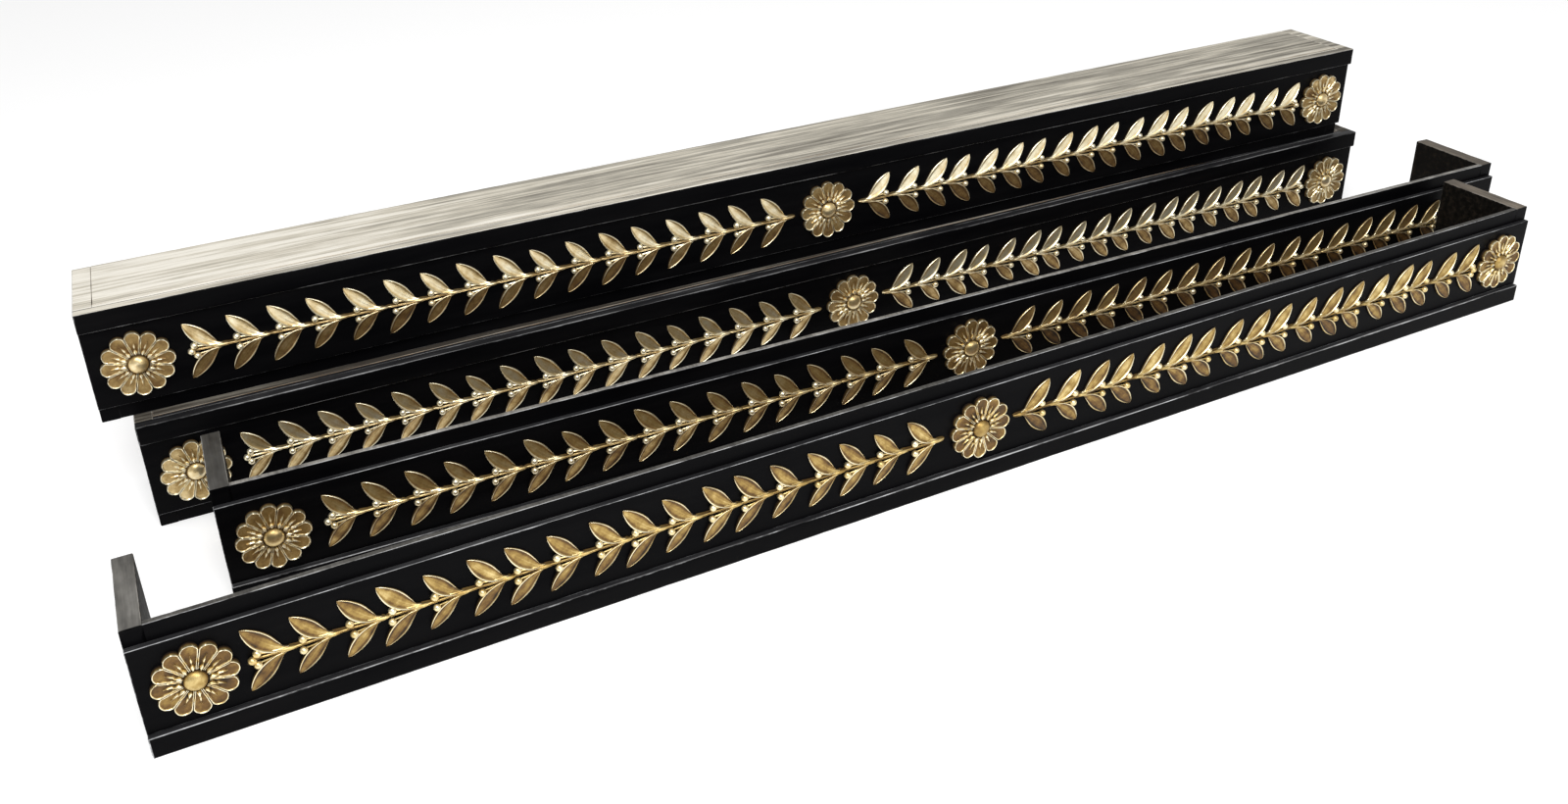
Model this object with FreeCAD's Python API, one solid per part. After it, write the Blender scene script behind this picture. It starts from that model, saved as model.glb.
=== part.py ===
import FreeCAD, Part

import math
import os

from FreeCAD import Placement, Rotation, Vector

os.makedirs("parts", exist_ok=True)

# A set of four window cornices (pelmet boxes) in black lacquered wood with gilt metal mounts.
# Two stand upright, one on top of the other, and two lie upside down in front of them.
# All sizes are in millimetres.
#
# One cornice is drawn upright in its own frame: X along its length from its middle, Y from the
# face of the frieze back towards the wall, Z up from its lower edge.

# Front profile of one cornice, from the lower edge up: recessed band, frieze, cap moulding.
length = 1800.0
band_height = 19.0
frieze_height = 96.0
cap_height = 24.0
height = band_height + frieze_height + cap_height
frieze_top = band_height + frieze_height
cap_projection = 5.5
band_setback = 6.5
cap_round = 2.0

# Boards of the carcass. The depth runs from the frieze face to the back of the returns.
depth = 120.0
fascia_thickness = 6.0
return_thickness = 20.0
top_thickness = 15.0
fascia_back = band_setback + fascia_thickness
inner_half_length = length / 2 - return_thickness

# Glue blocks in the corner between the fascia and the top board.
block_leg = 24.0
block_length = 70.0
block_count = 5
block_span = 1440.0

# Gilt rosettes, one in the middle and one near each end.
rosette_station = 849.0
rosette_petals = 12
petal_radius = 8.6
petal_circle = 30.4
rosette_disc_radius = 31.0
petal_relief = 5.0
calyx_radius = 18.5
calyx_relief = 7.5
boss_radius = 10.5
boss_relief = 11.5
boss_foot_step = 0.5

# Gilt laurel branches. Each is a row of six equal castings of three leaf pairs, end to end.
# A branch has 18 pairs, or 17 where the castings stand further apart and the last is cut short.
castings_per_branch = 6
pair_offsets = (0.0, 45.5, 86.5)
casting_pitch = {18: 124.5, 17: 131.5}
first_joint = 53.0
stem_start = 47.0
leaf_reach = 42.5
leaf_rise = 34.0
leaf_half_width = 8.5
leaf_relief = 4.0
stem_half_height = 2.0
stem_relief = 4.5
berry_offset = 33.0
berry_rise = 6.0
berry_radius = 4.2
berry_relief = 7.5
end_berry_offset = 37.5
ornament_height = band_height + frieze_height / 2

# Pins behind the gilt mounts, pressed into the frieze panel and the fascia.
pin_radius = 1.25
pin_length = 10.0
rosette_pin_spread = 15.0
hole_clearance = 0.05

# Cut nails into the top board: along its front edge through the fascia, and into its ends
# through the returns. Their heads are let in flush.
nail_radius = 1.4
nail_length = 40.0
nail_head_radius = 3.0
nail_head_thickness = 1.5
top_nail_count = 6
top_nail_span = 1500.0
return_nail_depths = (45.0, 95.0)

# Where each cornice stands: the position of its middle, its turn in plan in degrees, and
# whether it lies upside down. Pairs are the leaf pairs of its branches towards -X and +X.
cornices = {
    "rear": {"x": 0.0, "y": 0.0, "z": 0.0, "turn": 0.0, "inverted": False, "pairs": (17, 18)},
    "upper": {"x": -32.0, "y": 10.5, "z": height, "turn": -0.5, "inverted": False, "pairs": (17, 18)},
    "middle": {"x": 62.5, "y": -186.5, "z": 0.0, "turn": -0.8, "inverted": True, "pairs": (17, 17)},
    "front": {"x": -31.0, "y": -343.5, "z": 0.0, "turn": 1.0, "inverted": True, "pairs": (18, 18)},
}

out_of_face = Vector(0, -1, 0)
into_wood = Vector(0, 1, 0)


def box(x_low, x_high, y_low, y_high, z_low, z_high):
    """A rectangular board between two corners."""
    size = (x_high - x_low, y_high - y_low, z_high - z_low)
    return Part.makeBox(*size, Vector(x_low, y_low, z_low))


def evenly_spaced(count, span):
    """Stations along X, centred on zero."""
    step = span / (count - 1)
    return [step * index - span / 2 for index in range(count)]


def castings_of(pair_count):
    """Each casting of a branch as the station of its first joint and the offsets of its pairs."""
    castings = []
    for index in range(castings_per_branch):
        pairs_left = pair_count - index * len(pair_offsets)
        start = first_joint + index * casting_pitch[pair_count]
        castings.append((start, pair_offsets[:pairs_left]))
    return castings


def pin_stations(pairs):
    """X positions of the ornament pins: two behind each rosette, one behind each casting."""
    stations = []
    for centre in (-rosette_station, 0.0, rosette_station):
        stations += [centre - rosette_pin_spread, centre + rosette_pin_spread]
    for side, pair_count in zip((-1, 1), pairs):
        stations += [side * (start + offsets[1]) for start, offsets in castings_of(pair_count)]
    return stations


def mount_pins(pairs, clearance=0.0):
    """Straight pins from the back of each gilt mount into the wood behind it."""
    radius = pin_radius + clearance
    pins = []
    for station in pin_stations(pairs):
        foot = Vector(station, 0, ornament_height)
        pins.append(Part.makeCylinder(radius, pin_length + clearance, foot, into_wood))
    return pins


def nail_places():
    """The middle of each nail's head and the way the nail points, all level with the top board."""
    level = height - top_thickness / 2
    places = []
    for station in evenly_spaced(top_nail_count, top_nail_span):
        places.append((Vector(station, band_setback, level), into_wood))
    for side in (-1, 1):
        for back in return_nail_depths:
            places.append((Vector(side * length / 2, back, level), Vector(-side, 0, 0)))
    return places


def nails(clearance=0.0):
    """Cut nails with flat heads, driven through the fascia and the returns."""
    solids = []
    for head_face, inward in nail_places():
        shank = Part.makeCylinder(nail_radius + clearance, nail_length + clearance, head_face, inward)
        head = Part.makeCylinder(
            nail_head_radius + clearance, nail_head_thickness + clearance, head_face, inward
        )
        solids.append(shank.fuse(head).removeSplitter())
    return solids


def fascia_board(pairs):
    """The full-height front board, between the returns. Its bare lower strip is the recessed band."""
    board = box(-inner_half_length, inner_half_length, band_setback, fascia_back, 0, height)
    return board.cut(mount_pins(pairs, hole_clearance) + nails(hole_clearance))


def frieze_panel(pairs):
    """The flat facing board that carries the gilt mounts."""
    panel = box(-length / 2, length / 2, 0, band_setback, band_height, frieze_top)
    return panel.cut(mount_pins(pairs, hole_clearance))


def cap_moulding():
    """The square-edged moulding along the top of the front, eased on its outer arrises."""
    strip = box(-length / 2, length / 2, -cap_projection, band_setback, frieze_top, height)
    outer_edges = []
    for edge in strip.Edges:
        on_front = all(abs(vertex.Y + cap_projection) < 0.01 for vertex in edge.Vertexes)
        along_length = abs(edge.BoundBox.XLength - length) < 0.01
        if on_front and along_length:
            outer_edges.append(edge)
    return strip.makeFillet(cap_round, outer_edges)


def end_return(side):
    """The side board that closes one end. It runs forward to the back of the frieze panel."""
    outer = side * length / 2
    inner = side * inner_half_length
    board = box(min(outer, inner), max(outer, inner), band_setback, depth, 0, height)
    return board.cut(nails(hole_clearance))


def top_board():
    """The dust board between the returns, flush with the top of the cap moulding."""
    underside = height - top_thickness
    board = box(-inner_half_length, inner_half_length, fascia_back, depth, underside, height)
    return board.cut(nails(hole_clearance))


def glue_blocks():
    """Triangular blocks rubbed into the corner under the top board."""
    corner = height - top_thickness
    blocks = []
    for station in evenly_spaced(block_count, block_span):
        start = station - block_length / 2
        outline = Part.makePolygon([
            Vector(start, fascia_back, corner),
            Vector(start, fascia_back + block_leg, corner),
            Vector(start, fascia_back, corner - block_leg),
            Vector(start, fascia_back, corner),
        ])
        blocks.append(Part.Face(outline).extrude(Vector(block_length, 0, 0)))
    return Part.makeCompound(blocks)


def rosette(station):
    """A twelve-petalled flower with a raised calyx ring and a domed boss."""
    centre = Vector(station, 0, ornament_height)

    def at(radius, relief):
        return centre + Vector(radius, -relief, 0)

    boss_foot = calyx_relief + boss_foot_step
    shoulder_radius = boss_radius * math.sin(math.pi / 4)
    shoulder_relief = boss_foot + (boss_relief - boss_foot) * math.cos(math.pi / 4)
    dome = Part.Arc(
        at(0, boss_relief),
        at(shoulder_radius, shoulder_relief),
        at(boss_radius, boss_foot),
    )
    corners = [
        at(boss_radius, boss_foot),
        at(boss_radius, calyx_relief),
        at(calyx_radius, calyx_relief),
        at(calyx_radius, petal_relief),
        at(rosette_disc_radius, petal_relief),
        at(rosette_disc_radius, 0),
        at(0, 0),
        at(0, boss_relief),
    ]
    outline = Part.Wire([dome.toShape()] + Part.makePolygon(corners).Edges)
    core = Part.Face(outline).revolve(centre, into_wood, 360)
    petals = []
    for index in range(rosette_petals):
        angle = 2 * math.pi * index / rosette_petals
        offset = Vector(petal_circle * math.sin(angle), 0, petal_circle * math.cos(angle))
        petals.append(Part.makeCylinder(petal_radius, petal_relief, centre + offset, out_of_face))
    return core.fuse(petals).removeSplitter()


def leaf(joint, rise_sign):
    """A pointed oval leaf from a joint on the stem, swept outwards along +X."""
    base = Vector(joint, 0, 0)
    tip = Vector(joint + leaf_reach, 0, rise_sign * leaf_rise)
    middle = (base + tip) * 0.5
    along = Vector(tip - base).normalize()
    across = Vector(-along.z, 0, along.x) * leaf_half_width
    first_side = Part.Arc(base, middle + across, tip).toShape()
    second_side = Part.Arc(tip, middle - across, base).toShape()
    outline = Part.Wire([first_side, second_side])
    return Part.Face(outline).extrude(out_of_face * leaf_relief)


def berry(x, z):
    """A round berry with a domed front, drawn as a short cylinder with an eased rim."""
    body = Part.makeCylinder(berry_radius, berry_relief, Vector(x, 0, z), out_of_face)
    front_rim = [edge for edge in body.Edges if edge.BoundBox.YMax < -berry_relief + 0.1]
    return body.makeFillet(berry_radius * 0.6, front_rim)


def laurel_casting(joints, stem_from, stem_to, has_end_berry):
    """Leaf pairs on one piece of stem, each pair followed by two berries."""
    stem = box(stem_from, stem_to, -stem_relief, 0, -stem_half_height, stem_half_height)
    growth = []
    for joint in joints:
        for sign in (-1, 1):
            growth.append(leaf(joint, sign))
            growth.append(berry(joint + berry_offset, sign * berry_rise))
    if has_end_berry:
        growth.append(berry(stem_to, 0))
    return stem.fuse(growth).removeSplitter()


def laurel_branch(side, pair_count):
    """A whole branch of castings, growing outwards from beside the middle rosette."""
    castings = []
    for index, (start, offsets) in enumerate(castings_of(pair_count)):
        joints = [start + offset for offset in offsets]
        is_last = index == castings_per_branch - 1
        stem_from = stem_start if index == 0 else start
        stem_to = joints[-1] + end_berry_offset if is_last else start + casting_pitch[pair_count]
        castings.append(laurel_casting(joints, stem_from, stem_to, is_last))
    branch = Part.makeCompound(castings)
    branch.translate(Vector(0, 0, ornament_height))
    if side < 0:
        branch = branch.mirror(Vector(0, 0, 0), Vector(1, 0, 0))
    return branch


def upright_pieces(pairs):
    """Every piece of one upright cornice. Names of paired pieces hold the side they are on."""
    pieces = {
        ("fascia_board", 0): fascia_board(pairs),
        ("frieze_panel", 0): frieze_panel(pairs),
        ("cap_moulding", 0): cap_moulding(),
        ("top_board", 0): top_board(),
        ("glue_blocks", 0): glue_blocks(),
        ("rosette_centre", 0): rosette(0.0),
        ("mount_pins", 0): Part.makeCompound(mount_pins(pairs)),
        ("nails", 0): Part.makeCompound(nails()),
    }
    for side, pair_count in zip((-1, 1), pairs):
        pieces[("return", side)] = end_return(side)
        pieces[("rosette", side)] = rosette(side * rosette_station)
        pieces[("laurel", side)] = laurel_branch(side, pair_count)
    return pieces


def placement_of(cornice):
    """Where a cornice stands. An inverted one is rolled over end for end, front still forward."""
    place = Placement(
        Vector(cornice["x"], cornice["y"], cornice["z"]), Rotation(Vector(0, 0, 1), cornice["turn"])
    )
    if cornice["inverted"]:
        roll = Placement(Vector(0, 0, height), Rotation(Vector(0, 1, 0), 180))
        place = place.multiply(roll)
    return place


def side_name(side, inverted):
    """The end of the set that a paired piece is at, seen from the front."""
    placed_side = -side if inverted else side
    return "_left" if placed_side < 0 else "_right"


def build_set():
    """All pieces of the four cornices in their places, by node name."""
    nodes = {}
    for cornice_name, cornice in cornices.items():
        place = placement_of(cornice)
        for (piece_name, side), shape in upright_pieces(cornice["pairs"]).items():
            suffix = side_name(side, cornice["inverted"]) if side else ""
            placed = shape.copy()
            placed.Placement = place.multiply(placed.Placement)
            nodes[f"{cornice_name}_{piece_name}{suffix}"] = placed
    return nodes


def move_origin_to_base_centre(nodes):
    """Put the origin under the middle of the whole set, at floor level."""
    whole = FreeCAD.BoundBox()
    for shape in nodes.values():
        whole.add(shape.BoundBox)
    shift = Vector(-whole.Center.x, -whole.Center.y, -whole.ZMin)
    for shape in nodes.values():
        shape.translate(shift)
    return shift


nodes = build_set()
shift = move_origin_to_base_centre(nodes)
print("origin shift", [round(value, 3) for value in shift])
for node_name, shape in nodes.items():
    assert shape.isValid(), node_name
    shape.exportStep(f"parts/{node_name}.step")
print(len(nodes), "nodes")
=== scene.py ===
import math

import bmesh
import bpy
import numpy as np
from mathutils import Matrix, Vector, noise


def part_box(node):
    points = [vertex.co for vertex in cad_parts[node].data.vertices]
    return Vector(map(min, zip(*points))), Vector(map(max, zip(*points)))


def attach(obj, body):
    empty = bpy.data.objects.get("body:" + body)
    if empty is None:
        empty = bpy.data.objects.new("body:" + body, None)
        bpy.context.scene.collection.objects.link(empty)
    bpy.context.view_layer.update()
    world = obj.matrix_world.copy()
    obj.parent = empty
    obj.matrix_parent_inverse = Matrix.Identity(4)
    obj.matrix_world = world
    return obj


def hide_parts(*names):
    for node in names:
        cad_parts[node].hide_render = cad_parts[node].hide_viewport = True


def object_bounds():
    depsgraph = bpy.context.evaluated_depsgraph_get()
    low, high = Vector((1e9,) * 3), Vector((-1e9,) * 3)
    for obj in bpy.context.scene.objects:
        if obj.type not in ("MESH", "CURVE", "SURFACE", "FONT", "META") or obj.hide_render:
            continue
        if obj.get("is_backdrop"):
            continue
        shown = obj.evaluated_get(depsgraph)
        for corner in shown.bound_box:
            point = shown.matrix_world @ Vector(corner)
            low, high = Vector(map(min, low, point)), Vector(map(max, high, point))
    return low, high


# The looks of a set of four window cornices: black lacquered boards, bare wood where the paint
# ends or has worn off, and cast gilt rosettes and laurel branches. Shapes are worked out in
# millimetres in each cornice's own frame, and become metres when their mesh is made.

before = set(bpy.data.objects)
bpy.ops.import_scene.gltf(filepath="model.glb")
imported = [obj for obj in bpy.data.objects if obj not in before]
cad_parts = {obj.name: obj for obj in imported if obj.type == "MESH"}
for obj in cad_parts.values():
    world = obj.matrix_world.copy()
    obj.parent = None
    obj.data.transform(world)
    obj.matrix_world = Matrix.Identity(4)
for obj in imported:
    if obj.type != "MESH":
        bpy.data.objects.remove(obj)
cad_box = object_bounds()
MM = 0.001

# Ornament sizes, in millimetres.
petal_count = 12
rosette_radius = 39.0
petal_end_radius = 8.6
petal_end_circle = rosette_radius - petal_end_radius
petal_rim_height = 6.0
petal_wall_foot = 1.6
boss_radius = 10.3
boss_foot = 6.0
boss_dome = 5.8
moat_height = 3.6
moat_width = 1.6
rosette_back_radii = (24.0, 4.0)
stem_start = 47.0
first_joint = 53.0
castings_per_branch = 6
casting_pitch = {18: 124.5, 17: 131.5}
casting_gap = 0.5
pair_offsets = (0.0, 45.5, 86.5)
pair_reach = (1.0, 0.97, 1.02)
leaf_spine = ((0.0, 0.0), (15.0, 2.0), (25.0, 15.0), (42.0, 34.0))
leaf_half_width = 8.2
berry_radius = 4.1
berry_offset = 33.0
berry_rise = 6.4
berry_height = 4.0
last_berry_offset = 37.5

# Heights in a leaf, in millimetres. Its blade rises from the far side to the stem side, and sinks
# by the depth of its cup in between.
leaf_foot = 1.2
far_side_level = 1.9
stem_side_rise = 3.2
cup_depth = 1.1
gutter_depth = 0.3
midrib_rise = 0.5
petiole_level = 3.4

# Places across a leaf of its raised rim, the gutter inside it and the midrib, and their widths,
# as shares of the half width. The blade begins at a share of the leaf's length.
rim_place, rim_width = 0.90, 0.085
gutter_place, gutter_width = 0.74, 0.08
midrib_width = 0.09
blade_start = 0.24

# A stem's half width and height in millimetres, and how much more of each it has at a leaf joint;
# the middle and the length of that swelling; and the stem's slight sway.
stem_half_width, joint_half_width = 1.75, 0.75
stem_height, joint_height = 3.9, 0.8
swelling_place, swelling_length = 3.0, 5.0
sway_size, sway_length = 0.25, 13.0

# The ranges that each leaf's size and tone, and each berry's size and place, are drawn from.
leaf_sizes, leaf_tone_shift = (0.96, 1.03), (-0.08, 0.08)
berry_sizes, berry_shift, berry_rise_shift = (0.94, 1.03), (-1.4, 1.4), (-0.3, 0.4)

# A petal's stamen and calyx bead: where each begins, is widest, begins to narrow and ends, in
# millimetres from the rosette's middle; its half width; how much of it the narrowing takes; and
# the height of its foot and of its top above that.
stamen_ridge = ((17.5, 20.5, 20.5, 28.0), 1.3, 0.9, 3.6, 2.6)
bead_ridge = ((11.6, 14.2, 14.6, 20.2), 2.15, 1.0, 4.2, 4.2)

# A leaf's mesh: stations along it, and places across it from its far side at -1 to its stem side
# at 1. The outermost two places on each side are the foot and the top of a wall.
leaf_stations = 25
leaf_places = (
    -1, -1, -0.96, -0.88, -0.8, -0.7, -0.4, -0.12, 0,
    0.12, 0.4, 0.7, 0.8, 0.88, 0.96, 1, 1,
)

# Other meshes: points around and along a stalk and a stem, around each petal, and rings of points
# on a rosette's boss and petals.
stalk_points, stalk_rings = 6, 6
stem_points, stem_rings = 11, 44
petal_points = 28
boss_rings, petal_rings = 9, 64

# How far wear and painted highlights reach from a board's arris, in radii of that arris, and the
# waves of its uneven surface and of the bruises on its arrises, in millimetres along each axis.
arris_mark_reach = 2.6
uneven_wave = (70, 25, 25)
bruise_wave = (9, 7, 7)

# How far past a joined side a board is taken to go on when its arrises are eased, in millimetres.
joint_depth = 10.0

# How far apart the boards' grain and wear are drawn from the noise, in metres for each seed.
seed_spacing = 0.37

# Most of a noise texture's values lie between these.
noise_low, noise_high = 0.3, 0.7

# Leaf pairs of each cornice's branches towards -X and +X in its own frame, and the painted light
# on a branch's upper and lower leaves: how brightly each is drawn, the upper ones lit, the lower
# shaded.
branch_pairs = {"upper": (17, 18), "rear": (17, 18), "middle": (17, 17), "front": (18, 18)}
leaf_painted_light = {
    ("upper", "left"): (0.84, 0.36),
    ("upper", "right"): (1.10, 0.26),
    ("rear", "left"): (0.68, 0.50),
    ("rear", "right"): (0.84, 0.30),
    ("middle", "left"): (0.46, 0.38),
    ("middle", "right"): (0.30, 0.12),
    ("front", "left"): (0.64, 0.50),
    ("front", "right"): (0.74, 0.44),
}


# Shapes in millimetres ------------------------------------------------------------------------


def smoothstep(low, high, value):
    """0 below low, 1 above high, and a smooth rise between them."""
    share = np.clip((value - low) / (high - low), 0.0, 1.0)
    return share * share * (3.0 - 2.0 * share)


def bump(value, centre, width):
    """A rounded hump of height 1."""
    return np.exp(-(((value - centre) / width) ** 2))


class Shell:
    """Points and faces of a mesh, with how raised and how bright the metal is at each point. Both
    set its colour: its patina and own tone, and painted highlights and painted shade.
    """

    def __init__(self):
        self.points, self.faces, self.relief, self.tone = [], [], [], []
        self.count = 0

    def add_tube(self, rings, relief, tone):
        """A closed tube through rings of points, with flat ends. rings is (rings, points, 3)."""
        ring_count, per_ring = rings.shape[:2]
        index = np.arange(ring_count * per_ring).reshape(ring_count, per_ring) + self.count
        onward = np.roll(index, -1, axis=1)
        quads = np.stack([index[:-1], onward[:-1], onward[1:], index[1:]], axis=-1).reshape(-1, 4)
        self.faces += quads.tolist() + [index[0].tolist(), index[-1].tolist()]
        self.points.append(rings.reshape(-1, 3))
        self.relief.append(np.broadcast_to(relief, (ring_count, per_ring)).ravel())
        self.tone.append(np.broadcast_to(tone, (ring_count, per_ring)).ravel())
        self.count += ring_count * per_ring


def bezier(points, share):
    """Points of a cubic curve, at each share from 0 to 1."""
    a, b, c, d = (np.array(point) for point in points)
    s = share[:, None]
    return a * (1 - s) ** 3 + 3 * b * s * (1 - s) ** 2 + 3 * c * s * s * (1 - s) + d * s**3


def add_leaf(shell, joint, sign, reach, tone):
    """A cupped laurel leaf that leaves the stem at joint and sweeps out along +X.

    Its stem side stands higher than its far side, and both sides end in a raised rim."""
    share = np.linspace(0.0, 1.0, leaf_stations)
    spine = bezier(leaf_spine, share) * reach
    spine[:, 1] *= sign
    spine[:, 0] += joint
    along = np.gradient(spine, axis=0)
    along /= np.linalg.norm(along, axis=1)[:, None]
    to_stem = np.stack([along[:, 1], -along[:, 0]], axis=1) * sign
    blade = np.clip((share - blade_start) / (1 - blade_start), 0.0, 1.0)
    swell = np.sin(math.pi * blade**1.16) ** 0.68
    stalk_half_width = 1.3 * (1 - smoothstep(0.2, 0.5, share))
    half_width = stalk_half_width + leaf_half_width * reach * swell + 0.15
    side = np.array(leaf_places)
    grounded = np.zeros(len(side), bool)
    grounded[[0, -1]] = True
    s, v = np.meshgrid(share, side, indexing="ij")
    crown = np.sin(math.pi * np.clip((s - 0.06) / 0.94, 0, 1)) ** 0.55
    rim = bump(np.abs(v), rim_place, rim_width)
    gutter = bump(np.abs(v), gutter_place, gutter_width)
    midrib = bump(v, 0.0, midrib_width) * (1 - s)
    level = far_side_level + stem_side_rise * (1 + v) / 2
    cup = -cup_depth * (1 - v * v)
    surface = level + cup + rim - gutter_depth * gutter + midrib_rise * midrib
    height = leaf_foot + crown * (surface - leaf_foot)
    petiole = 1 - smoothstep(0.14, 0.34, s)
    height += petiole * (petiole_level - height) * (1 - 0.55 * v * v)
    height[:, grounded] = 0.0
    points = np.empty((len(share), len(side), 3))
    for axis, part in ((0, 0), (2, 1)):
        sideways = to_stem[:, part][:, None] * half_width[:, None] * v
        points[:, :, axis] = spine[:, part][:, None] + sideways
    points[:, :, 1] = -height
    # Drawn bright on the rims, midrib and stalk and dark in the gutters and on the walls down to
    # the floor: painted highlights and painted shade, with some patina in the dips.
    relief = np.clip(0.38 + 0.62 * rim - 0.34 * gutter + 0.25 * midrib + 0.35 * petiole, 0, 1)
    relief = np.where(grounded, 0.0, relief)
    # Painted light: the stem side is drawn lighter than the far side and the rims lighter still,
    # on top of the leaf's painted light as an upper or a lower leaf.
    leaf_tone = np.where(grounded, 0.0, tone + 0.10 * v + 0.2 * rim)
    shell.add_tube(points, relief, leaf_tone)


def add_ellipsoid(shell, centre, radii, relief, tone, rings=9, per_ring=12):
    """A rounded blob about a point, with a small flat at each pole."""
    pole_flat = 0.08
    turn = np.linspace(0, 2 * math.pi, per_ring, endpoint=False)
    polar = np.linspace(pole_flat, math.pi - pole_flat, rings)
    p, t = np.meshgrid(polar, turn, indexing="ij")
    points = np.stack([np.cos(p), np.sin(p) * np.cos(t), np.sin(p) * np.sin(t)], axis=-1)
    shell.add_tube(points * np.array(radii) + np.array(centre), relief, tone)


def add_stalk(shell, start, end, radius, tone):
    """A thin round stalk between two points of the relief, bowed outwards."""
    bow, relief = 0.6, 0.7
    start, end = np.array(start), np.array(end)
    turn = np.linspace(0, 2 * math.pi, stalk_points, endpoint=False)
    share = np.linspace(0, 1, stalk_rings)
    s, t = np.meshgrid(share, turn, indexing="ij")
    middle = start + (end - start) * s[:, :, None]
    middle[:, :, 1] -= bow * np.sin(math.pi * s)
    round_about = np.stack([np.zeros_like(t), np.cos(t), np.sin(t)], axis=-1) * radius
    shell.add_tube(middle + round_about, relief, tone)


def add_stem(shell, start, end, joints, tone, rng):
    """One casting's length of stem: half round, grooved along, and swollen at the leaf joints."""
    rib_count = 6
    x = np.linspace(start, end, stem_rings)
    turn = np.linspace(0, math.pi, stem_points)
    local = x - start
    swelling = sum(bump(x, joint + swelling_place, swelling_length) for joint in joints)
    ends = smoothstep(0, 2.5, local) * smoothstep(0, 1.2, end - x)
    sway = sway_size * np.sin(local / sway_length + rng.uniform(0, 6))
    grid_x, grid_t = np.meshgrid(x, turn, indexing="ij")
    ribs = 1 + 0.10 * np.cos(grid_t * rib_count)
    half_width = (stem_half_width + joint_half_width * swelling) * (0.6 + 0.4 * ends)
    height = (stem_height + joint_height * swelling) * (0.5 + 0.5 * ends)
    points = np.stack([
        grid_x,
        -(height[:, None] * ribs) * np.sin(grid_t),
        half_width[:, None] * ribs * np.cos(grid_t) + sway[:, None],
    ], axis=-1)
    # Painted highlights on the ribs and painted shade in the grooves between them, strongest along
    # the top of the stem.
    relief = np.clip(0.35 + 0.45 * np.cos(grid_t * rib_count) * np.sin(grid_t), 0, 1)
    shell.add_tube(points, relief, tone)


def add_pair(shell, joint, reach, upper_sign, tones, rng):
    """Two leaves and two berries about one joint of the stem, which thickens to a knot."""
    knot_place, knot_radii = (joint + 5.5, -2.2, 0.0), (9.0, 2.9, 2.5)
    add_ellipsoid(shell, knot_place, knot_radii, 0.55, 0.55, rings=8, per_ring=10)
    for sign in (-1, 1):
        tone = tones[0 if sign == upper_sign else 1] + rng.uniform(*leaf_tone_shift)
        add_leaf(shell, joint, sign, reach * rng.uniform(*leaf_sizes), tone)
        berry_x = joint + berry_offset + rng.uniform(*berry_shift)
        berry_z = sign * (berry_rise + rng.uniform(*berry_rise_shift))
        stalk_start = (joint + 6, -2.2, sign * 1.9)
        stalk_end = (berry_x - 2, -3.2, berry_z * 0.8)
        add_stalk(shell, stalk_start, stalk_end, 0.85, 0.5)
        radius = berry_radius * rng.uniform(*berry_sizes)
        berry_place = (berry_x, -berry_height, berry_z)
        # The berry's tone follows its leaf's, painted light included.
        add_ellipsoid(shell, berry_place, (radius,) * 3, 0.75, 0.35 + 0.5 * tone)


def laurel_shell(pair_count, upper_sign, tones, seed):
    """A branch of castings that grows out along +X. upper_sign is +1 where the leaves at +Z are
    the upper ones as the cornice lies. tones are of the upper and the lower leaves."""
    rng = np.random.default_rng(seed)
    shell = Shell()
    for casting in range(castings_per_branch):
        start = first_joint + casting * casting_pitch[pair_count]
        offsets = pair_offsets[:pair_count - casting * len(pair_offsets)]
        joints = [start + offset for offset in offsets]
        is_last = casting == castings_per_branch - 1
        stem_from = stem_start if casting == 0 else start
        if is_last:
            stem_to = joints[-1] + last_berry_offset
        else:
            stem_to = start + casting_pitch[pair_count] - casting_gap
        add_stem(shell, stem_from, stem_to, joints, 0.5 + rng.uniform(-0.08, 0.08), rng)
        for joint, reach in zip(joints, pair_reach):
            add_pair(shell, joint, reach, upper_sign, tones, rng)
        if is_last:
            end_place = (stem_to, -berry_height, 0.0)
            add_ellipsoid(shell, end_place, (berry_radius,) * 3, 0.75, 0.6)
    return shell


def ridge(along, across, stations, half_width, narrowing, foot, rise):
    """A round ridge along a petal: its section, from 0 at its sides to 1, and its height."""
    start, widest, narrows, end = stations
    taper = 1 - narrowing * smoothstep(narrows, end, along)
    width = half_width * smoothstep(start, widest, along) * taper + 0.02
    section = np.sqrt(np.clip(1 - (across / width) ** 2, 0, 1)) * (along < end)
    return section, np.where(section > 0, foot + rise * section, 0)


def petal_relief(along, across):
    """Height of a petal, its stamen and its calyx bead at a place in the petal's own frame, and
    how bright it is drawn there: painted highlights on the rim, stamen and bead, and painted shade
    in the dish, which also stands for patina there.
    """
    half_sector = math.pi / petal_count
    side_room = along * math.tan(half_sector) * 0.985 - np.abs(across)
    end_room = petal_end_radius - np.hypot(along - petal_end_circle, across)
    room = np.where(along > petal_end_circle, np.minimum(end_room, side_room), side_room)
    wall = smoothstep(-0.1, 0.45, room)
    dish = smoothstep(0.95, 1.7, room)
    slope = smoothstep(12.0, 36.0, along)
    dish_depth = 2.0 - 0.8 * slope
    height = petal_wall_foot + (petal_rim_height - petal_wall_foot) * wall - dish_depth * dish
    relief = np.clip(wall - 0.87 * dish + 0.14 * dish * slope, 0, 1)
    stamen, stamen_height = ridge(along, across, *stamen_ridge)
    bead, bead_height = ridge(along, across, *bead_ridge)
    height = np.maximum(height, np.maximum(stamen_height, bead_height))
    relief = np.maximum(relief, np.maximum(0.95 * stamen, 0.95 * bead))
    return height, relief


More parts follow.
